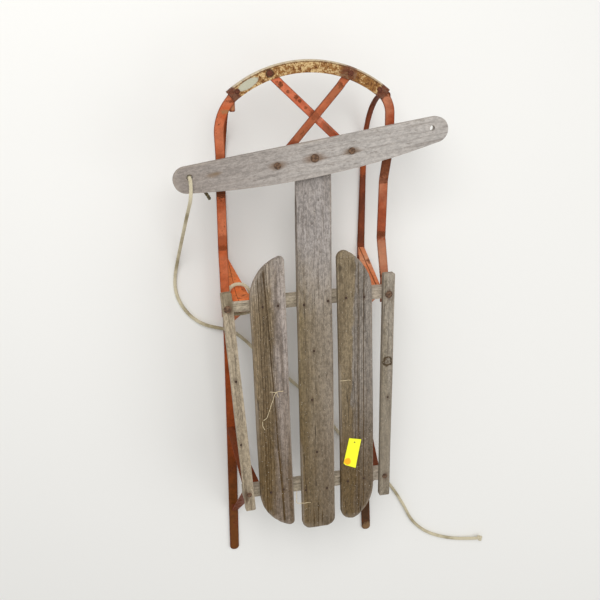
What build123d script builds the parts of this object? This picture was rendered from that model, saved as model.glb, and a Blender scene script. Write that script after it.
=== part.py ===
"""Steerable wooden runner sled, as an assembly of separate pieces.

Millimetres. +Y runs forward to the bumper, +X to the rider's right, +Z up.
The origin is on the floor, under the middle of the sled's length.
"""
import os
from math import acos, asin, atan, cos, degrees, pi, radians, sin, tan

from build123d import *

os.makedirs("parts", exist_ok=True)

# Overall sizes
LENGTH = 1053
DECK_TOP = 155
FRAME_X = -7  # the steel frame has racked this far to the left of the boards
BOARD_THICKNESS = 11
TOUCH = 0.3  # running gap between pieces that move on each other

# Cross beams, by the distance of their centres from the sled's ends
BEAM_WIDTH = 21
BEAM_HEIGHT = 23
BEAM_LENGTH = 328
FRONT_BEAM_SETBACK = 437.5
REAR_BEAM_SETBACK = 218
FRONT_BEAM_Y = LENGTH / 2 - FRONT_BEAM_SETBACK
REAR_BEAM_Y = REAR_BEAM_SETBACK - LENGTH / 2
BEAM_TOP = DECK_TOP - BOARD_THICKNESS
BEAM_BOTTOM = BEAM_TOP - BEAM_HEIGHT
PLANK_WIDTH = 68
PLANK_TAPER = 4  # off its left edge, from the front beam to its front end

# name: middle, centre line, length
BEAMS = {
    "front_beam": (FRAME_X - 1.5, FRONT_BEAM_Y, BEAM_LENGTH),
    "rear_beam": (FRAME_X + 6, REAR_BEAM_Y, BEAM_LENGTH - 24),
}

# Steering bar, turned a little to the left as it stands
PIVOT_X = 1
PIVOT_SETBACK = 166.8
PIVOT_Y = LENGTH / 2 - PIVOT_SETBACK
BAR_TURN = 8
TURN_LIMITS = (-20, 4)  # from the stored turn
BAR_THICKNESS = 12
BAR_END_RADIUS = 23
BAR_END_X = 228
BAR_FRONT = 29.5
BAR_REAR = 33.5
WASHER_THICKNESS = 4
BAR_BOTTOM = DECK_TOP + WASHER_THICKNESS
BAR_TOP = BAR_BOTTOM + BAR_THICKNESS
BOLT_ARM = 68
ROPE_HOLE_X = 221.5
ROPE_HOLE_Y = 10.5
ROPE_HOLE_RADIUS = 5

# Steel strip of the runners and of the bars above them
RUNNER_THICKNESS = 5
HALF_TRACK = BEAM_LENGTH / 2 - 22
TAIL_OVERRUN = 7  # the runners' tails reach this far past the sled's nominal length
CURL_SETBACK = 203
CURL_START_Y = LENGTH / 2 - CURL_SETBACK
FOLD_RADIUS = 8
FOOT_LENGTH = 14
FRONT_BAR_WIDTH = 16.5
FRONT_BAR_THICKNESS = 4
FRONT_BAR_X = BEAM_LENGTH / 2 - 9
FRONT_BAR_OVERHANG = 26  # behind the front beam's centre
FRONT_BAR_REAR_Y = FRONT_BEAM_Y - FRONT_BAR_OVERHANG
KINK_ADVANCE = 104
KINK_Y = FRONT_BEAM_Y + KINK_ADVANCE
KINK_RISE = 4
KINK_RADIUS = 25
RISE_SETBACK = 223.5
RISE_Y = LENGTH / 2 - RISE_SETBACK
CREST_SETBACK = 154.5
CREST_Y = LENGTH / 2 - CREST_SETBACK

# Bumper arch, whose ends lie over the ends of the front bars
BUMPER_RADIUS = 226
BUMPER_WIDTH = 22
BUMPER_THICKNESS = 3
BUMPER_LIP = 9
BUMPER_INSETS = {-1: 14.6, 1: 5.2}  # of its ends from the middle lines of the front bars
BUMPER_ANGLES = {
    side: degrees(asin((FRONT_BAR_X - inset) / BUMPER_RADIUS)) for side, inset in BUMPER_INSETS.items()
}
BUMPER_TOP = 157
BUMPER_Y = LENGTH / 2 - BUMPER_RADIUS
BUMPER_BOTTOM = BUMPER_TOP - BUMPER_THICKNESS
FRONT_BAR_TOP = BUMPER_BOTTOM
FOLD_TOP = FRONT_BAR_TOP - FRONT_BAR_THICKNESS

# Crossed straps between the bumper and the steering bar
STRAP_WIDTH = 14.5
STRAP_THICKNESS = 3
STRAP_TAB = 20
STRAP_RAMP = 8
RIVET_ANGLES = {-1: 17.5, 1: 21.3}
RIVET_RADIUS = 3
SLOT_WALL = 3.5
SLOT_CLEARANCE = 0.8

# Knees: steel strip folded into an A over each runner
KNEE_THICKNESS = 3
KNEE_TOP_WIDTH = 35
KNEE_TOP_OUTER = BEAM_LENGTH / 2 - 18
KNEE_FOOT_WIDTH = 13
KNEE_FOOT_LENGTH = 18
FLANGE_REACH = 7  # of the left front knee's flange, below the beam

# Bolts and rivets
PIVOT_BOLT_RADIUS = 4
PIVOT_HEAD_RADIUS = 8
PIVOT_HEAD_HEIGHT = 3.5
PIVOT_NUT_RADIUS = 7.5
PIVOT_NUT_HEIGHT = 6
WASHER_RADIUS = 15
STEERING_BOLT_RADIUS = 3
STEERING_HEAD_RADIUS = 6
STEERING_HEAD_HEIGHT = 3
STEERING_NUT_RADIUS = 6.5
RAIL_BOLT_RADIUS = 3
DOME_HEIGHT = 2.5
DOME_TAPER = 35
NUT_WIDTH = 11
NUT_HEIGHT = 5
RIVET_HEAD_RADIUS = 5
RIVET_HEAD_HEIGHT = 1.5
CORNER_RIVET_INSET = 4  # degrees from the bumper's end
HOLE_CLEARANCE = 0.3

# Tow rope
ROPE_RADIUS = 3.5
KNOT_RADIUS = 8.5
END_KNOT_RADIUS = 8


def write(builder, name):
    builder.part.label = name
    export_step(builder.part, f"parts/{name}.step")


def board_plane(x, skew, height):
    """A board's own plane: its origin is on the line across the sled's middle."""
    return Plane((x, 0, height), x_dir=(cos(radians(skew)), sin(radians(skew)), 0), z_dir=(0, 0, 1))


# Bolts that hold the side rails to the beams: x, y, head radius, beam. Each is set in from the
# beam's end, and the rear ones lie a little ahead of their beam's middle line.
RAIL_BOLTS = [
    (BEAMS[beam][0] + side * (BEAMS[beam][2] / 2 - inset), BEAMS[beam][1] + ahead, head_radius, beam)
    for side, beam, inset, ahead, head_radius in (
        (-1, "rear_beam", 10.9, 3, 5.5),
        (-1, "front_beam", 7.3, 0, 7.5),
        (1, "rear_beam", 10.2, 3, 5.5),
        (1, "front_beam", 9.9, 0, 7.5),
    )
]


def through_bolts(rear, front):
    """The x and the skew of a board whose centre line runs through two bolts."""
    slope = (front[0] - rear[0]) / (front[1] - rear[1])
    return front[0] - slope * front[1], -degrees(atan(slope))


# Centre plank and side rails.
# name: x, skew in degrees, width, rear end, front end, corner radius behind, corner radius in front
STRIPS = {
    "centre_plank": (0, 0, PLANK_WIDTH, REAR_BEAM_Y - 94, PIVOT_Y + 16.8, 18, 24),
    "side_rail_left": (*through_bolts(*RAIL_BOLTS[:2]), 20.2, REAR_BEAM_Y - 34, FRONT_BEAM_Y + 31.5, 3, 3),
    "side_rail_right": (*through_bolts(*RAIL_BOLTS[2:]), 22, REAR_BEAM_Y - 42, FRONT_BEAM_Y + 41.5, 3, 3),
}

for name, (x, skew, width, rear, front, rear_radius, front_radius) in STRIPS.items():
    with BuildPart() as board:
        with BuildSketch(board_plane(x, skew, DECK_TOP)):
            with Locations((0, (rear + front) / 2)):
                Rectangle(width, front - rear)
            if name == "centre_plank":
                with BuildLine():
                    Polyline(
                        (-width / 2, FRONT_BEAM_Y),
                        (-width / 2, front),
                        (-width / 2 + PLANK_TAPER, front),
                        close=True,
                    )
                make_face(mode=Mode.SUBTRACT)
            fillet(vertices().group_by(Axis.Y)[0], rear_radius)
            fillet(vertices().group_by(Axis.Y)[-1], front_radius)
        extrude(amount=-BOARD_THICKNESS)
        with BuildSketch(Plane.XY.offset(DECK_TOP)):
            if name == "centre_plank":
                with Locations((PIVOT_X, PIVOT_Y)):
                    Circle(PIVOT_BOLT_RADIUS + HOLE_CLEARANCE)
            else:
                with Locations(*[(bolt_x, bolt_y) for bolt_x, bolt_y, _, _ in RAIL_BOLTS]):
                    Circle(RAIL_BOLT_RADIUS + HOLE_CLEARANCE)
        extrude(amount=-BOARD_THICKNESS, mode=Mode.SUBTRACT)
    write(board, name)

# Side slats: straight inner edge, outer edge that bends in to it in one large arc at each end.
# name: side, gap to the plank, inset from the front beam's end, rear end, front end, outer radius,
# inner corner radius behind and in front
SLAT_SKEW = 0.49
SLATS = {
    "side_slat_left": (-1, 20.6, 42, REAR_BEAM_Y - 81.5, FRONT_BEAM_Y + 95.5, 85, 9, 9),
    "side_slat_right": (1, 10.8, 50.4, REAR_BEAM_Y - 101, FRONT_BEAM_Y + 99.5, 95, 22, 14),
}

for name, (side, gap, inset, rear, front, outer_radius, rear_radius, front_radius) in SLATS.items():
    with BuildPart() as slat:
        inner = side * (PLANK_WIDTH / 2 + gap)
        outer = side * (BEAM_LENGTH / 2 - inset)
        bend = degrees(acos(1 - abs(outer - inner) / outer_radius))
        reach = outer_radius * sin(radians(bend))
        with BuildSketch(board_plane(0, SLAT_SKEW, DECK_TOP)):
            with BuildLine():
                JernArc((outer, front - reach), (0, 1), outer_radius, side * bend)
                Line((outer, front - reach), (outer, rear + reach))
                JernArc((outer, rear + reach), (0, -1), outer_radius, -side * bend)
                Line((inner, rear), (inner, front))
            make_face()
            fillet(vertices().sort_by(Axis.Y)[0], rear_radius)
            fillet(vertices().sort_by(Axis.Y)[-1], front_radius)
        extrude(amount=-BOARD_THICKNESS)
    write(slat, name)

# Cross beams, drilled for the bolts of the side rails
for name, (x, y, length) in BEAMS.items():
    with BuildPart() as beam:
        with BuildSketch(Plane.XY.offset(BEAM_BOTTOM)):
            with Locations((x, y)):
                Rectangle(length, BEAM_WIDTH)
            with Locations(*[(bolt_x, bolt_y) for bolt_x, bolt_y, _, holder in RAIL_BOLTS if holder == name]):
                Circle(RAIL_BOLT_RADIUS + HOLE_CLEARANCE, mode=Mode.SUBTRACT)
        extrude(amount=BEAM_HEIGHT)
    write(beam, name)

# Runners: flat on the floor, curled up at the front and folded back under the front bar's end.
# The half track and the strip's width change along the length: (y, half track, width)
TAIL_WIDTH = 20
TAIL_RADIUS = 9
TAIL_Y = -LENGTH / 2 - TAIL_OVERRUN
TRACKS = {
    -1: [
        (TAIL_Y, HALF_TRACK + 12, TAIL_WIDTH),
        (FRONT_BEAM_Y - 150, HALF_TRACK, TAIL_WIDTH),
        (FRONT_BEAM_Y + 70, HALF_TRACK - 1, 15),
        (CURL_START_Y - 23, HALF_TRACK - 5, 11.5),
        (CURL_START_Y + 77, HALF_TRACK - 11, 10),
        (LENGTH / 2, HALF_TRACK - 12, 9.5),
    ],
    1: [
        (TAIL_Y, HALF_TRACK + 12, TAIL_WIDTH),
        (FRONT_BEAM_Y - 150, HALF_TRACK, TAIL_WIDTH),
        (FRONT_BEAM_Y + 70, HALF_TRACK, 15),
        (CURL_START_Y - 23, HALF_TRACK + 4.5, 12),
        (CURL_START_Y + 77, HALF_TRACK + 7, 10),
        (LENGTH / 2, HALF_TRACK + 7, 9.5),
    ],
}
CURL_RADIUS = FOLD_TOP - FOLD_RADIUS

for side, word in ((-1, "left"), (1, "right")):
    with BuildPart() as runner:
        with BuildSketch(Plane.YZ.offset(FRAME_X)):
            with BuildLine():
                sole = Line((TAIL_Y, 0), (CURL_START_Y, 0))
                curl = JernArc(sole @ 1, sole % 1, CURL_RADIUS, 90)
                fold = JernArc(curl @ 1, curl % 1, FOLD_RADIUS, 90)
                Line(fold @ 1, fold @ 1 + (fold % 1) * FOOT_LENGTH)
                offset(amount=RUNNER_THICKNESS, side=Side.LEFT)
            make_face()
        extrude(amount=side * LENGTH / 2)
        with BuildSketch():
            with BuildLine():
                Polyline(
                    *[(FRAME_X + side * (track - width / 2), y) for y, track, width in TRACKS[side]],
                    *[(FRAME_X + side * (track + width / 2), y) for y, track, width in reversed(TRACKS[side])],
                    close=True,
                )
            make_face()
            fillet(vertices().group_by(Axis.Y)[0], TAIL_RADIUS)
        extrude(amount=DECK_TOP, mode=Mode.INTERSECT)
    write(runner, f"runner_{word}")

# Front bars: bolted under the front beam, kinked, raised to the bumper and turned in under its ends.
# side: the middle line as (y, distance from the frame's middle), then the turn's radius and angle and
# the length after it
FRONT_BARS = {
    -1: (
        (
            (FRONT_BAR_REAR_Y, FRONT_BAR_X + 2),
            (KINK_Y, FRONT_BAR_X + 2),
            (RISE_Y, FRONT_BAR_X),
            (CREST_Y + 32, FRONT_BAR_X + 1.5),
        ),
        85,
        40,
        22,
    ),
    1: (
        (
            (FRONT_BAR_REAR_Y, FRONT_BAR_X),
            (FRONT_BEAM_Y + 21, FRONT_BAR_X),
            (KINK_Y, FRONT_BAR_X - 7.5),
            (RISE_Y, FRONT_BAR_X - 5),
            (CREST_Y + 56, FRONT_BAR_X - 3.5),
        ),
        50,
        48,
        12,
    ),
}

for side, word in ((-1, "left"), (1, "right")):
    middle_line, turn_radius, turn_angle, tail = FRONT_BARS[side]
    bolts = [(x, y) for x, y, _, beam in RAIL_BOLTS if beam == "front_beam" and side * x > 0]
    with BuildPart() as front_bar:
        with BuildSketch(Plane.YZ.offset(FRAME_X)):
            with BuildLine():
                FilletPolyline(
                    (FRONT_BAR_REAR_Y, BEAM_BOTTOM),
                    (KINK_Y, BEAM_BOTTOM),
                    (RISE_Y, BEAM_BOTTOM + KINK_RISE),
                    (CREST_Y, FRONT_BAR_TOP),
                    (LENGTH / 2, FRONT_BAR_TOP),
                    radius=KINK_RADIUS,
                )
                offset(amount=FRONT_BAR_THICKNESS, side=Side.RIGHT)
            make_face()
        extrude(amount=side * LENGTH / 2)
        with BuildSketch():
            with BuildLine():
                half_width = FRONT_BAR_WIDTH / 2
                edge = Polyline(*[(FRAME_X + side * (away + half_width), y) for y, away in middle_line])
                bend = JernArc(edge @ 1, edge % 1, turn_radius + half_width, side * turn_angle)
                Line(bend @ 1, bend @ 1 + (bend % 1) * tail)
                offset(amount=FRONT_BAR_WIDTH, side=Side.LEFT if side > 0 else Side.RIGHT)
            make_face()
            with Locations(*bolts):
                Circle(RAIL_BOLT_RADIUS + HOLE_CLEARANCE, mode=Mode.SUBTRACT)
        extrude(amount=DECK_TOP, mode=Mode.INTERSECT)
    write(front_bar, f"front_bar_{word}")


def on_bumper(angle):
    """The point on the middle line of the bumper's flat top, at an angle to the right of its crown."""
    return Vector(FRAME_X, BUMPER_Y) + Vector(0, BUMPER_RADIUS - BUMPER_WIDTH / 2).rotate(Axis.Z, -angle)


RIVETS = {side: on_bumper(side * angle) for side, angle in RIVET_ANGLES.items()}

# Bumper: a flat arch with a lip turned down along its front
with BuildPart() as bumper:
    for inner_radius, depth in (
        (BUMPER_RADIUS - BUMPER_WIDTH, BUMPER_THICKNESS),
        (BUMPER_RADIUS - BUMPER_THICKNESS, BUMPER_LIP),
    ):
        with BuildSketch(Plane.XY.offset(BUMPER_TOP)):
            with BuildLine():
                middle = (FRAME_X, BUMPER_Y)
                sweep_angle = BUMPER_ANGLES[-1] + BUMPER_ANGLES[1]
                front = CenterArc(middle, BUMPER_RADIUS, 90 - BUMPER_ANGLES[1], sweep_angle)
                back = CenterArc(middle, inner_radius, 90 - BUMPER_ANGLES[1], sweep_angle)
                Line(front @ 0, back @ 0)
                Line(front @ 1, back @ 1)
            make_face()
        extrude(amount=-depth)
    with BuildSketch(Plane.XY.offset(BUMPER_TOP)):
        with Locations(*RIVETS.values()):
            Circle(RIVET_RADIUS + HOLE_CLEARANCE)
    extrude(amount=-BUMPER_THICKNESS, mode=Mode.SUBTRACT)
write(bumper, "bumper")

# Knees: a strip folded into an A, from foot to foot over a short top that carries the beam.
# name: beam, foot behind it, foot ahead of it, half track at its feet, outer edge of its top, side
KNEES = {
    "knee_front_left": (FRONT_BEAM_Y, 83, 57, HALF_TRACK - 0.5, KNEE_TOP_OUTER, -1),
    "knee_front_right": (FRONT_BEAM_Y, 83, 57, HALF_TRACK, KNEE_TOP_OUTER, 1),
    "knee_rear_left": (REAR_BEAM_Y, 125, 82, HALF_TRACK + 7, KNEE_TOP_OUTER - 2, -1),
    "knee_rear_right": (REAR_BEAM_Y, 125, 82, HALF_TRACK + 7, KNEE_TOP_OUTER, 1),
}

for name, (beam_y, behind, ahead, track, top_outer, side) in KNEES.items():
    with BuildPart() as knee:
        with BuildSketch(Plane.YZ.offset(FRAME_X)):
            with BuildLine():
                Polyline(
                    (beam_y - behind + KNEE_FOOT_LENGTH, RUNNER_THICKNESS),
                    (beam_y - behind, RUNNER_THICKNESS),
                    (beam_y - BEAM_WIDTH / 2, BEAM_BOTTOM),
                    (beam_y + BEAM_WIDTH / 2, BEAM_BOTTOM),
                    (beam_y + ahead, RUNNER_THICKNESS),
                    (beam_y + ahead - KNEE_FOOT_LENGTH, RUNNER_THICKNESS),
                )
                offset(amount=KNEE_THICKNESS, kind=Kind.INTERSECTION, side=Side.RIGHT)
            make_face()
        extrude(amount=side * LENGTH / 2)
        with BuildSketch(Plane.XZ.offset(-beam_y - ahead)):
            with BuildLine():
                Polyline(
                    (FRAME_X + side * (top_outer - KNEE_TOP_WIDTH), BEAM_BOTTOM),
                    (FRAME_X + side * top_outer, BEAM_BOTTOM),
                    (FRAME_X + side * (track + KNEE_FOOT_WIDTH / 2), RUNNER_THICKNESS),
                    (FRAME_X + side * (track - KNEE_FOOT_WIDTH / 2), RUNNER_THICKNESS),
                    close=True,
                )
            make_face()
        extrude(amount=behind + ahead, mode=Mode.INTERSECT)
        if name == "knee_front_left":  # its flange stands up along the beam's front face
            with BuildSketch(Plane.XZ.offset(-beam_y - BEAM_WIDTH / 2)):
                with Locations((FRAME_X + side * (top_outer - KNEE_TOP_WIDTH / 2), BEAM_TOP - 1)):
                    Rectangle(KNEE_TOP_WIDTH, BEAM_HEIGHT - 1 + FLANGE_REACH, align=(Align.CENTER, Align.MAX))
            extrude(amount=-KNEE_THICKNESS)
    write(knee, name)

# Bolts of the side rails: domed heads, and square nuts under the front bars
with BuildPart() as rail_bolts:
    for x, y, head, beam in RAIL_BOLTS:
        bottom = BEAM_BOTTOM
        if beam == "front_beam":
            bottom -= FRONT_BAR_THICKNESS
            with BuildSketch(Plane.XY.offset(bottom - NUT_HEIGHT)):
                with Locations((x, y)):
                    Rectangle(NUT_WIDTH, NUT_WIDTH)
            extrude(amount=NUT_HEIGHT)
        with BuildSketch(Plane.XY.offset(bottom)):
            with Locations((x, y)):
                Circle(RAIL_BOLT_RADIUS)
        extrude(amount=DECK_TOP - bottom)
        with BuildSketch(Plane.XY.offset(DECK_TOP)):
            with Locations((x, y)):
                Circle(head)
        extrude(amount=DOME_HEIGHT, taper=DOME_TAPER)
write(rail_bolts, "rail_bolts")

# Rivets that hold the front bars and the runners' folds to the bumper's ends
with BuildPart() as corner_rivets:
    for side in (-1, 1):
        with BuildSketch(Plane.XY.offset(BUMPER_TOP)):
            with Locations(on_bumper(side * (BUMPER_ANGLES[side] - CORNER_RIVET_INSET))):
                Circle(RIVET_HEAD_RADIUS)
        extrude(amount=DOME_HEIGHT, taper=DOME_TAPER)
write(corner_rivets, "corner_rivets")

# Steering bar: straight front edge, rear edge swelling to the middle, three bolts and two rope holes
BAR_PLANE = Plane((PIVOT_X, PIVOT_Y, BAR_BOTTOM)).rotated((0, 0, BAR_TURN))

with BuildPart() as steering_bar:
    with BuildSketch(BAR_PLANE):
        with BuildLine():
            end_rear = BAR_FRONT - 2 * BAR_END_RADIUS
            Line((-BAR_END_X, BAR_FRONT), (BAR_END_X, BAR_FRONT))
            CenterArc((BAR_END_X, BAR_FRONT - BAR_END_RADIUS), BAR_END_RADIUS, -90, 180)
            CenterArc((-BAR_END_X, BAR_FRONT - BAR_END_RADIUS), BAR_END_RADIUS, 90, 180)
            ThreePointArc((-BAR_END_X, end_rear), (0, -BAR_REAR), (BAR_END_X, end_rear))
        make_face()
        Circle(PIVOT_BOLT_RADIUS + HOLE_CLEARANCE, mode=Mode.SUBTRACT)
        with Locations((-BOLT_ARM, 0), (BOLT_ARM, 0)):
            Circle(STEERING_BOLT_RADIUS + HOLE_CLEARANCE, mode=Mode.SUBTRACT)
        with Locations((-ROPE_HOLE_X, ROPE_HOLE_Y), (ROPE_HOLE_X, ROPE_HOLE_Y)):
            Circle(ROPE_HOLE_RADIUS, mode=Mode.SUBTRACT)
    extrude(amount=BAR_THICKNESS)
write(steering_bar, "steering_bar")

with BuildPart() as pivot_washer:
    with BuildSketch(Plane.XY.offset(DECK_TOP)):
        with Locations((PIVOT_X, PIVOT_Y)):
            Circle(WASHER_RADIUS)
            Circle(PIVOT_BOLT_RADIUS + HOLE_CLEARANCE, mode=Mode.SUBTRACT)
    extrude(amount=WASHER_THICKNESS - TOUCH)
write(pivot_washer, "pivot_washer")

with BuildPart() as pivot_bolt:
    for bottom, height, radius, taper in (
        (BAR_TOP + TOUCH, PIVOT_HEAD_HEIGHT, PIVOT_HEAD_RADIUS, DOME_TAPER),
        (BEAM_TOP, BAR_TOP + TOUCH - BEAM_TOP, PIVOT_BOLT_RADIUS, 0),
        (BEAM_TOP - PIVOT_NUT_HEIGHT, PIVOT_NUT_HEIGHT, PIVOT_NUT_RADIUS, 0),
    ):
        with BuildSketch(Plane.XY.offset(bottom)):
            with Locations((PIVOT_X, PIVOT_Y)):
                Circle(radius)
        extrude(amount=height, taper=taper)
write(pivot_bolt, "pivot_bolt")

# Crossed straps. Each turns on its rivet under the bumper, and the steering bolt slides in a slot
# at its rear end. name: side of its rivet, top of its long level part
STRAPS = {
    "strap_right": (1, BAR_BOTTOM - 1.8),
    "strap_left": (-1, BAR_BOTTOM - 7.5),
}


def bolt_at(side, turn):
    """Where the steering bolt on that side of the bar is, at a turn from the stored one."""
    return Vector(PIVOT_X, PIVOT_Y) + Vector(side * BOLT_ARM, 0).rotate(Axis.Z, BAR_TURN + turn)


for name, (side, top) in STRAPS.items():
    rivet = RIVETS[side]
    run = bolt_at(-side, 0) - rivet
    reaches = [(bolt_at(-side, turn) - rivet).length for turn in (*TURN_LIMITS, 0)]
    slot_radius = STEERING_BOLT_RADIUS + SLOT_CLEARANCE
    slot_start = min(reaches) - 1
    slot_end = max(reaches) + 1
    tail = slot_end + slot_radius + SLOT_WALL
    with BuildPart() as strap:
        side_view = Plane(rivet, x_dir=run, z_dir=run.rotate(Axis.Z, -90))
        with BuildSketch(side_view.offset(-STRAP_WIDTH)):
            with BuildLine():
                Polyline(
                    (-STRAP_WIDTH, BUMPER_BOTTOM - TOUCH),
                    (STRAP_TAB, BUMPER_BOTTOM - TOUCH),
                    (STRAP_TAB + STRAP_RAMP, top),
                    (tail + 1, top),
                )
                offset(amount=STRAP_THICKNESS, kind=Kind.INTERSECTION, side=Side.RIGHT)
            make_face()
        extrude(amount=2 * STRAP_WIDTH)
        with BuildSketch(Plane(rivet, x_dir=run, z_dir=(0, 0, 1))):
            with Locations(((tail - STRAP_WIDTH / 2) / 2, 0)):
                Rectangle(tail + STRAP_WIDTH / 2, STRAP_WIDTH)
            fillet(vertices(), STRAP_WIDTH / 2 - 1)
            Circle(RIVET_RADIUS + HOLE_CLEARANCE, mode=Mode.SUBTRACT)
            with Locations(((slot_start + slot_end) / 2, 0)):
                SlotCenterToCenter(slot_end - slot_start, 2 * slot_radius, mode=Mode.SUBTRACT)
        extrude(amount=BAR_BOTTOM, mode=Mode.INTERSECT)
    write(strap, name)

# Strap rivets, headed on the bumper and under the strap
with BuildPart() as strap_rivets:
    strap_bottom = BUMPER_BOTTOM - TOUCH - STRAP_THICKNESS
    for rivet in RIVETS.values():
        for bottom, height, radius in (
            (BUMPER_TOP, RIVET_HEAD_HEIGHT, RIVET_HEAD_RADIUS),
            (strap_bottom - TOUCH, BUMPER_TOP - strap_bottom + TOUCH, RIVET_RADIUS),
            (strap_bottom - TOUCH - RIVET_HEAD_HEIGHT, RIVET_HEAD_HEIGHT, RIVET_HEAD_RADIUS),
        ):
            with BuildSketch(Plane.XY.offset(bottom)):
                with Locations(rivet):
                    Circle(radius)
            extrude(amount=height)
write(strap_rivets, "strap_rivets")

# Steering bolts, each with a collar from the bar down to its strap and a nut under the strap
for name, strap_name in (("steering_bolt_left", "strap_right"), ("steering_bolt_right", "strap_left")):
    side, strap_top = STRAPS[strap_name]
    strap_bottom = strap_top - STRAP_THICKNESS
    with BuildPart() as bolt:
        for bottom, height, radius in (
            (BAR_TOP, STEERING_HEAD_HEIGHT, STEERING_HEAD_RADIUS),
            (BAR_BOTTOM, BAR_THICKNESS, STEERING_BOLT_RADIUS),
            (strap_top + TOUCH, BAR_BOTTOM - strap_top - TOUCH, STEERING_HEAD_RADIUS),
            (strap_bottom - TOUCH, STRAP_THICKNESS + 2 * TOUCH, STEERING_BOLT_RADIUS),
            (strap_bottom - TOUCH - NUT_HEIGHT, NUT_HEIGHT, STEERING_NUT_RADIUS),
        ):
            with BuildSketch(Plane.XY.offset(bottom)):
                with Locations(bolt_at(-side, 0)):
                    Circle(radius)
            extrude(amount=height)
    write(bolt, name)

# Tow rope: from a knot under the bar's left hole, over the bar's rear edge, down to the floor,
# over the left runner, under the deck and out over the right runner to a knot
HOLE = BAR_PLANE.from_local_coords((-ROPE_HOLE_X, ROPE_HOLE_Y, 0))
KNOT_FLAT = BAR_BOTTOM - TOUCH
KNOT_CENTRE = KNOT_FLAT - (KNOT_RADIUS**2 - ROPE_RADIUS**2) ** 0.5
ROUTE = [
    (HOLE.X, HOLE.Y, KNOT_FLAT),
    (HOLE.X, HOLE.Y, 182.5),
    (-219.5, 320, 182.5),
    (-221.5, 299.5, 177),
    (-223.5, 281, 151),
    (-226, 253, 110),
    (-229.5, 222, 72),
    (-235, 186, 40),
    (-242, 148, 14),
    (-249, 112, 3.6),
    (-249, 82, 3.6),
    (-239.5, 54, 3.6),
    (-221.5, 27.5, 3.6),
    (-197, 9, 5),
    (-169, 2, 13),
    (-143, -5, 13),
    (-118, -29, 5),
    (-92, -61, 3.6),
    (-56, -97, 3.6),
    (-17, -140, 3.6),
    (28, -187, 3.6),
    (62, -242, 3.6),
    (101, -300, 5),
    (134, -343, 13),
    (168, -380, 11),
    (205, -424, 3.6),
    (237, -481, 3.6),
    (257, -528, 3.6),
    (291, -564, 3.6),
    (334, -587, 3.6),
    (384, -602, 3.6),
    (424, -604, 7.5),
]


def bend_radii(route):
    """Each corner's arc takes 0.45 of the shorter of its two runs."""
    radii = []
    for before, corner, after in zip(route, route[1:], route[2:]):
        first = Vector(*corner) - Vector(*before)
        second = Vector(*after) - Vector(*corner)
        half_turn = radians(first.get_angle(second) / 2)
        radii.append(0.45 * min(first.length, second.length) / tan(half_turn))
    return radii


RADII = bend_radii(ROUTE)
print("rope bend radii", [round(radius) for radius in RADII])
with BuildPart() as rope:
    with BuildLine():
        path = FilletPolyline(*ROUTE, radius=RADII)
    with BuildSketch(Plane(origin=path @ 0, z_dir=path % 0)):
        Circle(ROPE_RADIUS)
    sweep()
rope_volume = pi * ROPE_RADIUS**2 * path.length
print("rope length", round(path.length), "volume ratio", round(rope.part.volume / rope_volume, 4))
write(rope, "rope")

with BuildPart() as rope_knot:
    with Locations((HOLE.X, HOLE.Y, KNOT_CENTRE)):
        Sphere(KNOT_RADIUS)
    split(bisect_by=Plane.XY.offset(KNOT_FLAT), keep=Keep.BOTTOM)
write(rope_knot, "rope_knot")

with BuildPart() as rope_end_knot:
    rope_end = Plane(origin=path @ 1, z_dir=path % 1)
    with Locations(rope_end.offset((END_KNOT_RADIUS**2 - ROPE_RADIUS**2) ** 0.5)):
        Sphere(END_KNOT_RADIUS)
    split(bisect_by=rope_end, keep=Keep.TOP)
write(rope_end_knot, "rope_end_knot")

# A turn of the same rope tied round the left front knee, close under the beam
RING_Z = BEAM_BOTTOM - 14
RING_RADIUS = 4
with BuildPart() as knee_rope:
    beam_y, behind, ahead, _, top_outer, side = KNEES["knee_front_left"]
    drop = (BEAM_BOTTOM - RING_Z + ROPE_RADIUS) / (BEAM_BOTTOM - RUNNER_THICKNESS)
    spread = ROPE_RADIUS + 2 * TOUCH
    y_front = beam_y + BEAM_WIDTH / 2 + drop * (ahead - BEAM_WIDTH / 2) + spread
    y_rear = beam_y - BEAM_WIDTH / 2 - drop * (behind - BEAM_WIDTH / 2) - spread
    x_inner = FRAME_X + side * (top_outer - KNEE_TOP_WIDTH - spread)
    x_outer = FRAME_X + side * (top_outer + spread)
    with BuildLine(Plane.XY.offset(RING_Z)):
        ring = FilletPolyline(
            (x_outer, y_front),
            (x_outer, y_rear),
            (x_inner, y_rear),
            (x_inner, y_front),
            close=True,
            radius=RING_RADIUS,
        )
    with BuildSketch(Plane(origin=ring @ 0, z_dir=ring % 0)):
        Circle(ROPE_RADIUS)
    sweep()
write(knee_rope, "knee_rope")
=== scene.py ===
"""Looks of an old wooden runner sled: grey weathered boards on a red steel frame, with its tow rope.

Metres. +Y runs forward to the bumper, +X to the rider's right, +Z up, and the floor is at z = 0.
"""
from math import cos, pi, radians, sin

import bmesh
import bpy
from mathutils import Matrix, Vector, noise


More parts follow.
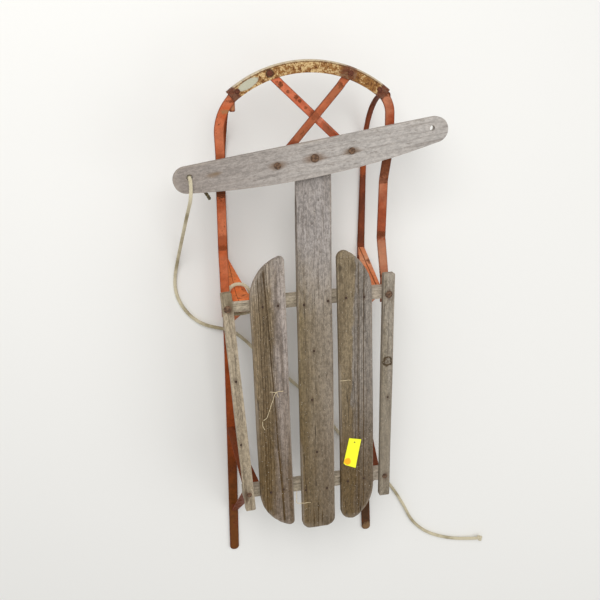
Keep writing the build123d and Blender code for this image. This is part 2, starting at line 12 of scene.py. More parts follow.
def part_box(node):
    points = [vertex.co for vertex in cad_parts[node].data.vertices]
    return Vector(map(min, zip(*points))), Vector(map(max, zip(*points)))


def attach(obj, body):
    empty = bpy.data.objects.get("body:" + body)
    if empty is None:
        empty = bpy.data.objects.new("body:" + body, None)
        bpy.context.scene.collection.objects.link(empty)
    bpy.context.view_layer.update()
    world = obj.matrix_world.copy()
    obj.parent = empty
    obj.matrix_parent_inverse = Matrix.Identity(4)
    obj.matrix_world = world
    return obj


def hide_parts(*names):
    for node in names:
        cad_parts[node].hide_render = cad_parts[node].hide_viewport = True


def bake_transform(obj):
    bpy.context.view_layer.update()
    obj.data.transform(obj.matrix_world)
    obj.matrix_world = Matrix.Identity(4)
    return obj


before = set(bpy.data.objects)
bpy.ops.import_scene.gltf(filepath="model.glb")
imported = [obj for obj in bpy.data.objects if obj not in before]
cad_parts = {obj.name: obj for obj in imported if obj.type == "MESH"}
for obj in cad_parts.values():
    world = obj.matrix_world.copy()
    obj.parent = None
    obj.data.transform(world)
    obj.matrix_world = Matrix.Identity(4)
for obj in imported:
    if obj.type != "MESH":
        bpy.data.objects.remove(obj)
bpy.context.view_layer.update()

# Deck boards. A long plank, two bowed slats and two narrow hand rails, sawn from softwood and left bare.
# Years outdoors have turned them grey where the sun reached and brown elsewhere, washed out the soft
# wood between the rings and rounded the edges. Nails hold them to the cross beams and have bled rust.
DECK_TOP = 0.155


class Value:
    """A socket of a material. Arithmetic on it adds the Math nodes that work it out."""

    def __init__(self, material, socket=None):
        self.material = material
        self.socket = socket

    def node(self, kind, inputs, settings=None, output=0):
        """A new node of that kind. Its settings are set first, then its inputs by name or number."""
        tree = self.material.node_tree
        made = tree.nodes.new("ShaderNode" + kind)
        for key, setting in (settings or {}).items():
            setattr(made, key, setting)
        for key, value in inputs.items():
            if isinstance(value, Value):
                tree.links.new(value.socket, made.inputs[key])
            else:
                made.inputs[key].default_value = value
        return Value(self.material, made.outputs[output])

    def maths(self, operation, *values):
        return self.node("Math", dict(enumerate(values)), {"operation": operation})

    def __add__(self, other):
        return self.maths("ADD", self, other)

    def __sub__(self, other):
        return self.maths("SUBTRACT", self, other)

    def __rsub__(self, other):
        return self.maths("SUBTRACT", other, self)

    def __mul__(self, other):
        return self.maths("MULTIPLY", self, other)

    __radd__ = __add__
    __rmul__ = __mul__

    def __abs__(self):
        return self.maths("ABSOLUTE", self)

    def __or__(self, other):
        """The larger of two masks."""
        return self.maths("MAXIMUM", self, other)

    def between(self, low, high):
        """0 at low, 1 at high and smooth between them."""
        limits = {0: self, 1: low, 2: high, 3: 0.0, 4: 1.0}
        return self.node("MapRange", limits, {"interpolation_type": "SMOOTHSTEP"})

    def mix(self, first, second):
        """One colour where this mask is 0, the other where it is 1."""
        return self.node("Mix", {0: self, 6: first, 7: second}, {"data_type": "RGBA"}, output=2)

    def shaded(self, amount):
        """This colour, made darker or lighter by a value."""
        return self.node("VectorMath", {0: self, "Scale": amount}, {"operation": "SCALE"})

    def mapped(self, scale=(1, 1, 1), place=(0, 0, 0), turn=(0, 0, 0)):
        inputs = {"Vector": self, "Location": place, "Rotation": turn, "Scale": scale}
        return self.node("Mapping", inputs)

    def noise(self, scale, detail=3.0, roughness=0.5):
        """Cloudy noise, from about 0.3 to 0.7."""
        cloudy = {"Vector": self, "Scale": scale, "Detail": detail, "Roughness": roughness}
        return self.node("TexNoise", cloudy)

    def distance(self, point):
        return self.node("VectorMath", {0: self, 1: point}, {"operation": "DISTANCE"}, output="Value")


def new_finish(name):
    """An empty material, as the place on the piece that its patterns start from."""
    material = bpy.data.materials.new(name)
    material.use_nodes = True
    return Value(material).node("TexCoord", {}, output="Object")


def coat(here, colour, roughness, height=None, relief=0.0005, metallic=0.0, gloss=0.5):
    """Puts colour, roughness and relief on the material's shader. height is how high each place of the
    relief stands, from 0 to 1, relief its depth in metres, and gloss how much the surface shines."""
    shader = here.material.node_tree.nodes["Principled BSDF"]
    shader.inputs["Specular IOR Level"].default_value = gloss
    surface = {"Base Color": colour, "Roughness": roughness, "Metallic": metallic}
    if height is not None:
        surface["Normal"] = here.node("Bump", {"Height": height, "Strength": 0.8, "Distance": relief})
    for key, value in surface.items():
        if isinstance(value, Value):
            here.material.node_tree.links.new(value.socket, shader.inputs[key])
        else:
            shader.inputs[key].default_value = value
    return here.material


def paint(red, green, blue):
    """A colour given as it looks on a screen, from 0 to 255."""
    return (*[(level / 255) ** 2.2 for level in (red, green, blue)], 1.0)


def weathered_wood(
    name,
    turn,
    sunny,
    brown,
    grey,
    groove,
    rings,
    seed,
    stains=(),
    grooves=(),
    dirt_and_shade=0.0,
    cracks=0.75,
    bleached=None,
    knots=(),
    splits=(),
    speckled=0.5,
):
    """Bare old wood with its grain turned from +Y by so many degrees.

    sunny: where x goes from the brown colour to the grey one
    groove: colour of the washed out lines
    rings: the pith's x, its depth, its tilt and how dark its rings are
    stains: places, with their radius, colour and strength
    grooves: single dark lines along the grain, as x at y = 0, drift, half width and strength
    dirt_and_shade: how much painted shade darkens and browns the rear end
    cracks: how dark the hair cracks are
    bleached: the colour of the front end, where that is paler
    knots: places on the deck, with their radius
    splits: open cracks from the rear end, as x and the y where they stop
    speckled: how grainy the surface looks
    """
    here = new_finish(name)
    laid = here.mapped(turn=(0, 0, radians(-turn)), place=(0, seed, 0))
    pith_x, depth, tilt, darkness = rings
    across = laid.node("SeparateXYZ", {0: here}, output=0)
    along = laid.node("SeparateXYZ", {0: here}, output=1)
    fibre = laid.mapped(scale=(1, 0.02, 1)).noise(700, 3, 0.6)
    thread = laid.mapped(scale=(1, 0.035, 1)).noise(190, 3, 0.6)
    cloud = laid.mapped(scale=(1, 0.25, 1)).noise(24, 4, 0.6)
    speckle = laid.mapped(scale=(1, 0.45, 1)).noise(300, 3, 0.75).between(0.36, 0.64)
    tilted = laid.mapped(place=(-pith_x, 0, depth), turn=(radians(tilt), 0, radians(tilt / 3)))
    wave = {"Vector": tilted.mapped(scale=(1, 0.05, 1)), "Scale": 42, "Distortion": 5}
    wave.update({"Detail": 2, "Detail Scale": 1.4})
    ring = laid.node("TexWave", wave, {"wave_type": "RINGS", "rings_direction": "Y"}, output=1)
    low, high = sunny
    light = (across + (cloud - 0.5) * 0.05).between(low, high)
    dark = ring.between(0.5, 1.0) * thread.between(0.3, 0.6) * darkness
    dark = dark | (1 - thread.between(0.3, 0.45)) * 0.5
    for place, drift, width, strength in grooves:
        away = abs(across - along * drift - place + (cloud - 0.5) * 0.008 + (thread - 0.5) * 0.002)
        dark = dark | away.between(width, width * 0.3) * fibre.between(0.1, 0.4) * strength
    for place, stop in splits:
        away = abs(across - place + (cloud - 0.5) * 0.01 + (fibre - 0.5) * 0.003)
        dark = dark | away.between(0.0013, 0.0005) * along.between(stop, stop - 0.02) * 0.95
    for place, radius in knots:
        off = here.distance((*place, DECK_TOP)) + (here.noise(140, 3, 0.7) - 0.5) * radius * 1.1
        ring_line = abs(off - radius * 0.8).between(radius * 0.3, radius * 0.12)
        dark = dark | ring_line * 0.95 | off.between(radius * 0.5, radius * 0.3) * fibre.between(0.35, 0.6)
    pits = laid.mapped(scale=(1, 0.3, 1)).noise(230, 4, 0.7).between(0.57, 0.66)
    dark = dark | pits * 0.5
    off_line = abs(laid.mapped(scale=(1, 0.02, 1)).noise(70, 2) - 0.5)
    check = (1 - off_line.between(0.0, 0.012)) * cloud.between(0.5, 0.6)
    colour = light.mix(brown, grey)
    if bleached:
        colour = (along + (cloud - 0.5) * 0.2).between(0.06, 0.22).mix(colour, bleached)
    colour = dark.mix(colour, groove)
    # Painted shade: the colour turns darker and browner towards the rear end.
    rear = (along + (cloud - 0.5) * 0.1).between(-0.02, -0.3)
    colour = (rear * dirt_and_shade).mix(colour, paint(84, 64, 33))
    blotch = laid.mapped(scale=(1, 0.4, 1)).noise(60, 3, 0.6)
    grain = fibre * 0.4 + speckle * speckled + (1 - speckled) * 0.5
    colour = colour.shaded(grain + cloud * 0.3 + blotch * 0.3)
    colour = (check * cracks).mix(colour, paint(38, 30, 24))
    worn = here.node("Attribute", {}, {"attribute_name": "worn"}, output="Fac")
    colour = (worn * cloud.between(0.4, 0.6) * 0.35).mix(colour, paint(172, 160, 146))
    flecks = here.noise(420, 1, 0.4).between(0.71, 0.76) * 0.6
    colour = flecks.mix(colour, paint(206, 196, 180))
    for place, size, tint, strength in stains:
        spot = Matrix.Rotation(radians(-turn), 2) @ Vector(place)
        near = laid.mapped(scale=(1, 0.45, 0)).distance((spot.x, (spot.y + seed) * 0.45, 0))
        near = near + (thread - 0.5) * size * 0.8
        colour = (near.between(size, size * 0.25) * strength).mix(colour, tint)
    relief = fibre * 0.4 + thread * 0.7 + speckle * 0.4 - dark * 0.6 - check * cracks
    return coat(here, colour, 0.78 + fibre * 0.2, relief, 0.0006, gloss=0.2)


def solid_mesh(node, rounding, segments=3):
    """A copy of the node's solid as one closed mesh, with its edges rounded over."""
    mesh = bmesh.new()
    mesh.from_mesh(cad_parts[node].data)
    bmesh.ops.remove_doubles(mesh, verts=mesh.verts, dist=1e-6)
    bmesh.ops.dissolve_limit(mesh, angle_limit=radians(0.5), verts=mesh.verts, edges=mesh.edges)
    mark = mesh.faces.layers.int.new("rounded")
    corners = [edge for edge in mesh.edges if edge.is_manifold and edge.calc_face_angle() > radians(30)]
    rounded = bmesh.ops.bevel(
        mesh,
        geom=corners,
        offset=rounding,
        segments=segments,
        profile=0.5,
        affect="EDGES",
        material=-1,
        clamp_overlap=True,
    )
    for face in rounded["faces"]:
        face[mark] = 1
    return mesh


def score(mesh, direction, spacing):
    """Cuts the faces at even steps in that direction, so that the surface can be worn."""
    direction = Vector(direction)
    reach = [vertex.co.dot(direction) for vertex in mesh.verts]
    low, high = min(reach), max(reach)
    steps = round((high - low) / spacing)
    for step in range(1, steps):
        everything = mesh.verts[:] + mesh.edges[:] + mesh.faces[:]
        place = direction * (low + (high - low) * step / steps)
        bmesh.ops.bisect_plane(mesh, geom=everything, dist=1e-7, plane_co=place, plane_no=direction)


def shown(mesh, name, body, material, nodes=()):
    """Makes a finished mesh a piece of the sled, in place of those nodes. Its attribute worn is 1 on the
    rounded edges and 0 inside the faces."""
    mark = mesh.faces.layers.int.get("rounded")
    worn = mesh.verts.layers.float.new("worn")
    for vertex in mesh.verts:
        vertex[worn] = float(mark is not None and any(face[mark] for face in vertex.link_faces))
    data = bpy.data.meshes.new(name)
    mesh.to_mesh(data)
    mesh.free()
    data.materials.append(material)
    data.shade_smooth()
    data.set_sharp_from_angle(angle=radians(40))
    piece = bpy.data.objects.new(name, data)
    bpy.context.scene.collection.objects.link(piece)
    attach(piece, body)
    if nodes:
        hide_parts(*nodes)
    return piece


def wear(mesh, turn, ridges, sway, seed):
    """Washes grooves along the grain into the surface and lets the board warp a little, by so many
    metres at most."""
    lay = Matrix.Rotation(radians(-turn), 3, "Z")
    mesh.normal_update()
    shift = Vector((seed, seed, seed))
    for vertex in mesh.verts:
        laid = lay @ vertex.co
        ridge = noise.noise(Vector((laid.x * 150, laid.y * 5, laid.z * 150)) + shift)
        bend = noise.noise(Vector((laid.x * 12, laid.y * 6, laid.z * 12)) + shift)
        vertex.co += vertex.normal * (ridge * ridges + bend * sway)


GROOVE = paint(76, 62, 45)
NAIL_BLACK = paint(48, 34, 26)
RUST = paint(84, 68, 52)

# node: grain's turn, x from brown to grey, brown, grey, (pith's x, depth, tilt, ring darkness),
# (groove's x, drift, half width, strength), painted shade at the rear end, bleached
BOARDS = {
    "centre_plank": (
        0,
        (-0.04, 0.03),
        paint(120, 105, 79),
        paint(140, 129, 115),
        (0.01, 0.16, 1.0, 0.25),
        [(-0.0325, 0, 0.0012, 0.7), (-0.02, 0.004, 0.001, 0.4), (0.0315, 0, 0.001, 0.5)],
        0.45,
        paint(153, 146, 141),
    ),
    "side_slat_left": (
        0.5,
        (-0.096, -0.079),
        paint(138, 121, 96),
        paint(159, 148, 140),
        (-0.105, 0.13, 0.5, 0.6),
        [
            (-0.119, 0, 0.0008, 0.5),
            (-0.1145, 0, 0.0012, 0.6),
            (-0.1105, 0.004, 0.0009, 0.8),
            (-0.1063, 0, 0.0017, 0.95),
            (-0.1036, 0.003, 0.0009, 0.85),
            (-0.1008, 0, 0.0015, 0.95),
            (-0.0982, -0.004, 0.0009, 0.85),
            (-0.0955, 0.004, 0.0013, 0.9),
            (-0.0925, -0.012, 0.0009, 0.85),
            (-0.0893, -0.047, 0.0022, 1.0),
            (-0.0856, -0.04, 0.0009, 0.85),
            (-0.0815, -0.03, 0.0009, 0.7),
            (-0.0765, -0.01, 0.0006, 0.5),
            (-0.0662, 0, 0.0008, 0.4),
        ],
        0.65,
        paint(150, 141, 131),
    ),
    "side_slat_right": (
        0.5,
        (0.075, 0.08),
        paint(127, 113, 91),
        paint(135, 127, 118),
        (0.098, 0.13, 0.4, 0.35),
        [
            (0.0478, 0, 0.0012, 0.5),
            (0.0565, 0.004, 0.0006, 0.4),
            (0.0785, 0, 0.001, 0.75),
            (0.0818, 0, 0.0007, 0.6),
            (0.0846, 0, 0.0018, 0.9),
            (0.0874, 0.004, 0.001, 0.7),
            (0.0918, 0, 0.0007, 0.5),
            (0.0957, 0, 0.0015, 0.9),
            (0.1005, 0, 0.0007, 0.4),
        ],
        0.68,
        None,
    ),
    "side_rail_left": (
        3.3,
        (-0.2, -0.15),
        paint(162, 148, 126),
        paint(166, 152, 130),
        (-0.16, 0.12, 0.6, 0.3),
        [],
        0.12,
        None,
    ),
    "side_rail_right": (
        -0.7,
        (0.142, 0.152),
        paint(132, 122, 106),
        paint(142, 133, 120),
        (0.144, 0.12, 0.6, 0.3),
        [(0.1345, 0.012, 0.0013, 0.6)],
        0.0,
        None,
    ),
}
# board, x, y
NAILS = [
    ("side_slat_left", -0.0707, 0.0868),
    ("side_slat_left", -0.1, 0.0875),
    ("side_slat_left", -0.098, -0.307),
    ("side_slat_left", -0.072, -0.304),
    ("centre_plank", -0.021, 0.0839),
    ("centre_plank", 0.0255, 0.0873),
    ("centre_plank", -0.0036, -0.0111),
    ("centre_plank", -0.0095, -0.1137),
    ("centre_plank", -0.0016, -0.2292),
    ("centre_plank", -0.027, -0.3123),
    ("centre_plank", 0.0179, -0.3147),
    ("side_slat_right", 0.0607, 0.0899),
    ("side_slat_right", 0.0962, 0.0885),
    ("side_slat_right", 0.062, -0.306),
    ("side_slat_right", 0.096, -0.304),
    ("side_rail_left", -0.1567, -0.0573),
    ("side_rail_left", -0.1535, -0.1919),
    ("side_rail_right", 0.1453, -0.1268),
]
# board: (x, y) of each bolt
RAIL_BOLTS = {
    "side_rail_left": [(-0.1605, 0.0905), (-0.1478, -0.3085)],
    "side_rail_right": [(0.1455, 0.0895), (0.143, -0.306)],
}
# board: (x, y), radius
KNOTS = {"side_rail_right": [((0.1444, -0.0489), 0.0105)]}
# board: x, y of the crack's end
SPLITS = {"centre_plank": [(-0.0104, -0.345), (-0.0018, -0.335), (0.0065, -0.355), (0.0235, -0.37)]}
# board: (x, y), radius, colour, strength. On the plank it is fresh wood, where a corner broke off.
STAINS = {
    "centre_plank": [
        ((0.0335, -0.402), 0.004, paint(188, 172, 144), 0.7),
        ((0.0275, -0.409), 0.003, paint(188, 172, 144), 0.6),
    ],
    "side_rail_left": [((-0.1625, 0.122), 0.024, paint(104, 92, 70), 0.6)],
    "side_rail_right": [((0.1435, -0.235), 0.075, paint(160, 150, 134), 0.28)],
    "side_slat_right": [
        ((0.0495, 0.15), 0.005, paint(70, 60, 48), 0.8),
        ((0.0512, 0.1264), 0.006, paint(84, 72, 56), 0.7),
        ((0.0727, 0.148), 0.007, paint(88, 76, 60), 0.6),
    ],
}
BOARD_ROUNDING = 0.0022

for seed, (node, look) in enumerate(BOARDS.items(), 1):
    turn, sunny, brown, grey, rings, grooves, dirt_and_shade, bleached = look
    stains = [((x, y), 0.005, RUST, 0.5) for board, x, y in NAILS if board == node]
    stains += [(place, 0.0085, paint(82, 62, 48), 0.7) for place in RAIL_BOLTS.get(node, ())]
    stains += STAINS.get(node, ())
    material = weathered_wood(
        node + "_wood",
        turn,
        sunny,
        brown,
        grey,
        GROOVE,
        rings,
        seed,
        stains,
        grooves,
        dirt_and_shade,
        bleached=bleached,
        knots=KNOTS.get(node, ()),
        splits=SPLITS.get(node, ()),
    )
    board = solid_mesh(node, BOARD_ROUNDING)
    score(board, (1, 0, 0), 0.004)
    score(board, (0, 1, 0), 0.014)
    wear(board, turn, 0.0006, 0.0009, seed)
    shown(board, node + "_worn", "sled", material, [node])

nail_finish = new_finish("nail_rust")
rusty = nail_finish.noise(600, 2).between(0.4, 0.6)
coat(nail_finish, rusty.mix(NAIL_BLACK, paint(70, 50, 38)), 0.85)
nails = bmesh.new()
for board, x, y in NAILS:
    head = bmesh.ops.create_cone(
        nails, cap_ends=True, segments=14, radius1=0.0024, radius2=0.0019, depth=0.0012
    )
    bmesh.ops.translate(nails, verts=head["verts"], vec=(x, y, DECK_TOP + 0.0002))
shown(nails, "nail_heads", "sled", nail_finish.material)

# Cross beams. Two square beams of the same bare wood, with the grain crosswise. The boards are nailed
# down on them, the side rails are bolted through them, and the knees and front bars sit under them.
for seed, node in enumerate(("front_beam", "rear_beam"), 11):
    material = weathered_wood(
        node + "_wood",
        turn=90,
        sunny=(0.0, 0.15),
        brown=paint(164, 152, 132),
        grey=paint(186, 173, 156),
        groove=GROOVE,
        rings=(0.03, 0.1, 0.5, 0.3),
        seed=seed,
    )
    beam = solid_mesh(node, 0.0018)
    score(beam, (1, 0, 0), 0.012)
    score(beam, (0, 1, 0), 0.004)
    wear(beam, 90, 0.0005, 0.0006, seed)
    shown(beam, node + "_worn", "sled", material, [node])

# Steel frame. The runners, knees and front bars are mild strip that was bent cold and brushed with
# orange red paint. The paint has faded and worn off the edges, and rust has come through.


def old_paint(
    name, fresh, faded, rust_share, seed, bands=(), tail_tone_and_shade=None, squash=(1, 1, 1), folds=(), rubbed=0.7
):
    """Worn paint over rust.

    bands: dark places, as centre, radius, strength and, where they aren't rust dark, their colour; most
    are rust, and some are painted shadows and painted highlights
    tail_tone_and_shade: what the paint turns to behind the front knees; on the right runner it is painted
    shadow
    squash: below 1 it draws the bands out in that direction
    folds: dark lines along Y, painted shade in the creases of the folds, as x and half width
    rubbed: how much of the paint is gone from the edges
    """
    here = new_finish(name)
    moved = here.mapped(place=(seed, seed, 0))
    cloud = moved.noise(14, 5, 0.6)
    patch = moved.noise(75, 5, 0.65)
    ragged = moved.noise(260, 4, 0.7)
    grit = moved.noise(520, 3, 0.6)
    worn = here.node("Attribute", {}, {"attribute_name": "worn"}, output="Fac")
    colour = cloud.between(0.38, 0.62).mix(fresh, faded)
    if tail_tone_and_shade:
        along = here.node("SeparateXYZ", {0: here}, output=1)
        colour = (along + (patch - 0.5) * 0.15).between(-0.2, -0.42).mix(colour, tail_tone_and_shade)
    colour = colour.shaded(0.44 + grit * 0.3 + ragged * 0.5 + patch.between(0.35, 0.65) * 0.28)
    rusted = patch + (ragged - 0.5) * 0.4 + (cloud - 0.5) * 0.6 + worn * 0.06
    rusted = rusted.between(0.69 - rust_share, 0.77 - rust_share)
    spots = grit.between(0.68, 0.74) * cloud.between(0.42, 0.55) * 0.7
    dark = rusted * 0.8 | spots
    tinted = []
    for centre, radius, strength, *tint in bands:
        middle = [place * share for place, share in zip(centre, squash)]
        torn = ((patch - 0.5) * 0.5 + (ragged - 0.5) * 1.6) * radius
        near = here.mapped(scale=squash).distance(middle) + torn
        spot = near.between(radius, radius * 0.6) * strength
        if tint:
            tinted.append((spot, tint[0]))
        else:
            dark = dark | spot
    # Painted shade in the creases of the folds.
    for place, width in folds:
        sideways = here.node("SeparateXYZ", {0: here}, output=0)
        away = abs(sideways - place + (patch - 0.5) * width * 2)
        dark = dark | away.between(width, width * 0.4) * 0.85
    # The dark places take this colour: rust, and also the painted shadows of the bands and the painted
    # shade in the folds.
    rust = grit.between(0.35, 0.65).mix(paint(72, 38, 24), paint(120, 66, 38))
    colour = dark.mix(colour, rust)
    for spot, tint in tinted:
        colour = spot.mix(colour, tint)
    bare = worn * (patch + (ragged - 0.5) * 0.5).between(0.3, 0.5) * rubbed
    colour = bare.mix(colour, paint(88, 46, 26))
    return coat(here, colour, 0.55 + dark * 0.35, patch * 0.5 + grit * 0.3 - dark * 0.5, 0.0004, gloss=0.2)


def rub_sides(mesh, direction, width):
    """Leaves a narrow margin along both sides of a straight strip that is level across."""
    reach = [vertex.co.dot(direction) for vertex in mesh.verts]
    for place in (min(reach) + width, max(reach) - width):
        everything = mesh.verts[:] + mesh.edges[:] + mesh.faces[:]
        bmesh.ops.bisect_plane(
            mesh, geom=everything, dist=1e-7, plane_co=direction * place, plane_no=direction
        )


def rub_edges(mesh, width):
    """Leaves a narrow margin along the edges of the wide faces, where the paint is rubbed off."""
    mark = mesh.faces.layers.int["rounded"]
    wide = [
        face
        for face in mesh.faces
        if not face[mark] and face.calc_area() > 0.0019 * max(edge.calc_length() for edge in face.edges)
    ]
    bmesh.ops.inset_region(mesh, faces=wide, thickness=width, use_boundary=True, use_even_offset=False)


ORANGE = paint(168, 80, 42)
FADED = paint(181, 102, 68)
RUNNER_RED = paint(156, 74, 34)
RUNNER_BROWN = paint(124, 56, 20)
TAIL_BROWN = paint(108, 63, 25)
OLIVE = paint(140, 112, 74)
# node: fresh paint, faded paint, share of rust, bands, colour towards the rear end, painted shadow on the
# right runner
STEEL = {
    "runner_left": (
        RUNNER_RED,
        RUNNER_BROWN,
        0.08,
        [((-0.14, 0.445, 0.15), 0.035, 0.75), ((-0.1385, 0.453, 0.15), 0.009, 0.75, paint(182, 124, 86))],
        TAIL_BROWN,
    ),
    "runner_right": (
        paint(130, 65, 38),
        paint(105, 53, 32),
        0.1,
        [
            ((0.142, 0.46, 0.14), 0.03, 0.6),
            ((0.134, 0.486, 0.15), 0.014, 0.6, OLIVE),
            ((0.138, 0.318, 0.006), 0.03, 0.6, paint(190, 92, 44)),
            # painted highlight on the tip of the tail
            ((0.151, -0.53, 0.005), 0.018, 0.6, paint(150, 118, 84)),
        ],
        # painted shadow towards the rear end of the tail
        paint(76, 50, 29),
    ),
    "front_bar_left": (
        ORANGE,
        FADED,
        0.055,
        [
            # painted shadow of the steering bar, on the bar just behind it
            ((-0.162, 0.31, 0.125), 0.026, 0.9),
            ((-0.164, 0.207, 0.12), 0.016, 0.65, paint(132, 62, 30)),
            ((-0.164, 0.198, 0.119), 0.0055, 0.9),
            ((-0.135, 0.482, 0.153), 0.014, 0.9),
            ((-0.1385, 0.462, 0.15), 0.004, 0.8),
            ((-0.146, 0.445, 0.15), 0.0055, 0.6, OLIVE),
            ((-0.1415, 0.447, 0.148), 0.004, 0.8),
            ((-0.151, 0.41, 0.14), 0.003, 0.7),
        ],
        None,
    ),
    "front_bar_right": (
        paint(144, 68, 38),
        paint(176, 112, 82),
        0.055,
        [
            # painted shadow of the steering bar, on the bar just behind it
            ((0.14, 0.335, 0.135), 0.032, 0.85),
            ((0.139, 0.165, 0.119), 0.03, 0.45, paint(190, 138, 106)),
            ((0.1395, 0.2, 0.119), 0.007, 0.9),
            ((0.128, 0.474, 0.153), 0.018, 0.8),
        ],
        None,
    ),
    "knee_front_left": (paint(216, 100, 48), paint(210, 116, 66), 0.01, [], None),
    "knee_front_right": (paint(206, 118, 74), paint(208, 142, 106), 0.02, [], None),
    "knee_rear_left": (paint(112, 58, 34), RUNNER_BROWN, 0.12, [], None),
    "knee_rear_right": (paint(112, 58, 34), RUNNER_BROWN, 0.12, [], None),
}
# node: x and half width of a crease, painted dark as shade
FOLDS = {"knee_front_left": [(-0.1425, 0.0008)], "knee_front_right": [(0.1305, 0.0016)]}
# kind of strip: how bands are drawn out, how much paint is gone from the edges, rounding of the edges
STRIPS = {
    "runner": ((1, 1, 1), 0.2, 0.0022),
    "front_bar": ((0.3, 1, 0.5), 0.7, 0.0013),
    "knee": ((1, 1, 1), 0.0, 0.0013),
}
RUBBED_WIDTH = 0.0018
for seed, (node, (fresh, faded, share, bands, tail_tone_and_shade)) in enumerate(STEEL.items(), 21):
    squash, rubbed, rounding = next(strip for kind, strip in STRIPS.items() if node.startswith(kind))
    folds = FOLDS.get(node, ())
    material = old_paint(node + "_paint", fresh, faded, share, seed, bands, tail_tone_and_shade, squash, folds, rubbed)
    strip = solid_mesh(node, rounding, 4)
    if rubbed:
        rub_edges(strip, RUBBED_WIDTH)
    score(strip, (0, 1, 0), 0.02)
    shown(strip, node + "_painted", "sled", material, [node])

# Crossed straps. Two thin steel straps under the same paint, each turning on its rivet in the bumper.
# A steering bolt sits in the slot at the rear end, and rust marks the place where the straps cross.
# centre, radius and strength of that rust
CROSSING = ((0.0049, 0.4324, 0.154), 0.01, 0.4)
# side: fresh paint, faded paint, bands
STRAP_PAINTS = {
    "left": (
        paint(186, 88, 56),
        paint(200, 112, 78),
        [
            ((-0.0525, 0.4865, 0.152), 0.006, 0.9),
            ((-0.0255, 0.4635, 0.152), 0.005, 0.85),
            ((-0.0193, 0.4572, 0.152), 0.004, 0.85),
            ((-0.0402, 0.4735, 0.152), 0.0035, 0.7),
            ((-0.0089, 0.4449, 0.152), 0.0035, 0.7),
            # painted highlight on the strap after the crossing
            ((0.0155, 0.4225, 0.152), 0.0075, 0.7, paint(226, 138, 108)),
            # painted shadow on the strap beyond the highlight
            ((0.03, 0.41, 0.152), 0.013, 0.6, paint(150, 92, 66)),
            CROSSING,
        ],
    ),
    "right": (
        paint(168, 86, 54),
        paint(180, 104, 68),
        [
            ((0.0525, 0.4805, 0.154), 0.007, 0.85),
            ((0.0399, 0.4683, 0.154), 0.0035, 0.7),
            ((0.0326, 0.4601, 0.154), 0.0035, 0.7),
            ((0.0198, 0.447, 0.154), 0.0035, 0.7),
            ((0.041, 0.468, 0.154), 0.022, 0.55, paint(140, 84, 56)),
            ((0.0272, 0.4545, 0.154), 0.003, 0.7),
            ((-0.012, 0.412, 0.154), 0.0035, 0.7),
            CROSSING,
        ],
    ),
}
# side: the way that the strap lies
STRAP_LAY = {"left": Vector((0.14, -0.1363, 0)), "right": Vector((-0.1374, -0.1506, 0))}
for seed, (side, (fresh, faded, bands)) in enumerate(STRAP_PAINTS.items(), 31):
    material = old_paint(f"strap_{side}_paint", fresh, faded, 0.08, seed, bands)
    strap = solid_mesh(f"strap_{side}", 0.0008)
    across = STRAP_LAY[side].cross(Vector((0, 0, 1))).normalized()
    rub_sides(strap, across, 0.0024)
    shown(strap, f"strap_{side}_painted", f"{side}_strap", material, [f"strap_{side}"])

# Bumper. A steel arch with a lip turned down along its front, in cream paint that has flaked and browned
# all over, most on its right half and where it laps over the front bars.
ARCH_CENTRE = (-0.007, 0.3005, 0.157)
ARCH_RADIUS = 0.224
here = new_finish("bumper_paint")
cloud = here.noise(22, 4, 0.6)
patch = here.noise(150, 4, 0.7)
mottle = here.noise(420, 3, 0.7)
grit = here.noise(900, 2, 0.6)
from_centre = here.distance(ARCH_CENTRE)
across = here.node("SeparateXYZ", {0: here}, output=0)
along = here.node("SeparateXYZ", {0: here}, output=1)
cream = mottle.between(0.42, 0.58).mix(paint(204, 176, 126), paint(170, 134, 86))
worse = (across + (cloud - 0.5) * 0.1).between(-0.03, 0.06)
flaked = (patch + (mottle - 0.5) * 0.35 + (cloud - 0.5) * 0.3 + worse * 0.05).between(0.46, 0.53)
deep = (patch + (mottle - 0.5) * 0.3).between(0.58, 0.64)
colour = flaked.mix(cream, grit.between(0.4, 0.6).mix(paint(118, 80, 42), paint(150, 106, 60)))
colour = deep.mix(colour, paint(88, 52, 28))
on_left_half = here.mapped(place=(0.1095, -0.489, -0.157)).mapped(turn=(0, 0, radians(-28)))
drawn_out = on_left_half.mapped(scale=(0.36, 1, 1))
bare = (drawn_out.distance((0, 0, 0)) + (mottle - 0.5) * 0.004).between(0.0078, 0.0062)
colour = bare.mix(colour, paint(178, 175, 154))
line = abs(from_centre - (ARCH_RADIUS - 0.0018) + (patch - 0.5) * 0.0012).between(0.0011, 0.0004)
colour = (line * 0.8).mix(colour, paint(92, 68, 46))
# Painted highlight: a pale line along the outer edge of the lip, where it catches the light.
rim_highlight = from_centre.between(ARCH_RADIUS - 0.0008, ARCH_RADIUS)
colour = (rim_highlight * 0.75).mix(colour, paint(188, 178, 156))
left_lap = (across + along * 0.95 + (patch - 0.5) * 0.012).between(0.3275, 0.3225)
right_lap = (across * 0.755 - along * 0.656 + (patch - 0.5) * 0.014).between(-0.221, -0.215)
rivet_rust = here.distance((0.067, 0.5, 0.157)) + (patch - 0.5) * 0.02
lapped = left_lap | right_lap | rivet_rust.between(0.02, 0.011) * 0.85
lap_rust = mottle.between(0.35, 0.65).mix(paint(66, 34, 26), paint(116, 68, 50))
colour = (lapped * 0.92).mix(colour, lap_rust)
spot = (here.distance((-0.0717, 0.5055, 0.157)) + (mottle - 0.5) * 0.004).between(0.0085, 0.006)
colour = (spot * 0.9).mix(colour, paint(66, 44, 30))
colour = colour.shaded(0.8 + grit * 0.4)
flakes = patch * 0.5 + mottle * 0.4 - flaked * 0.5
bumper_paint = coat(here, colour, 0.6 + flaked * 0.3, flakes, 0.0004, gloss=0.3)
shown(solid_mesh("bumper", 0.0009), "bumper_painted", "sled", bumper_paint, ["bumper"])

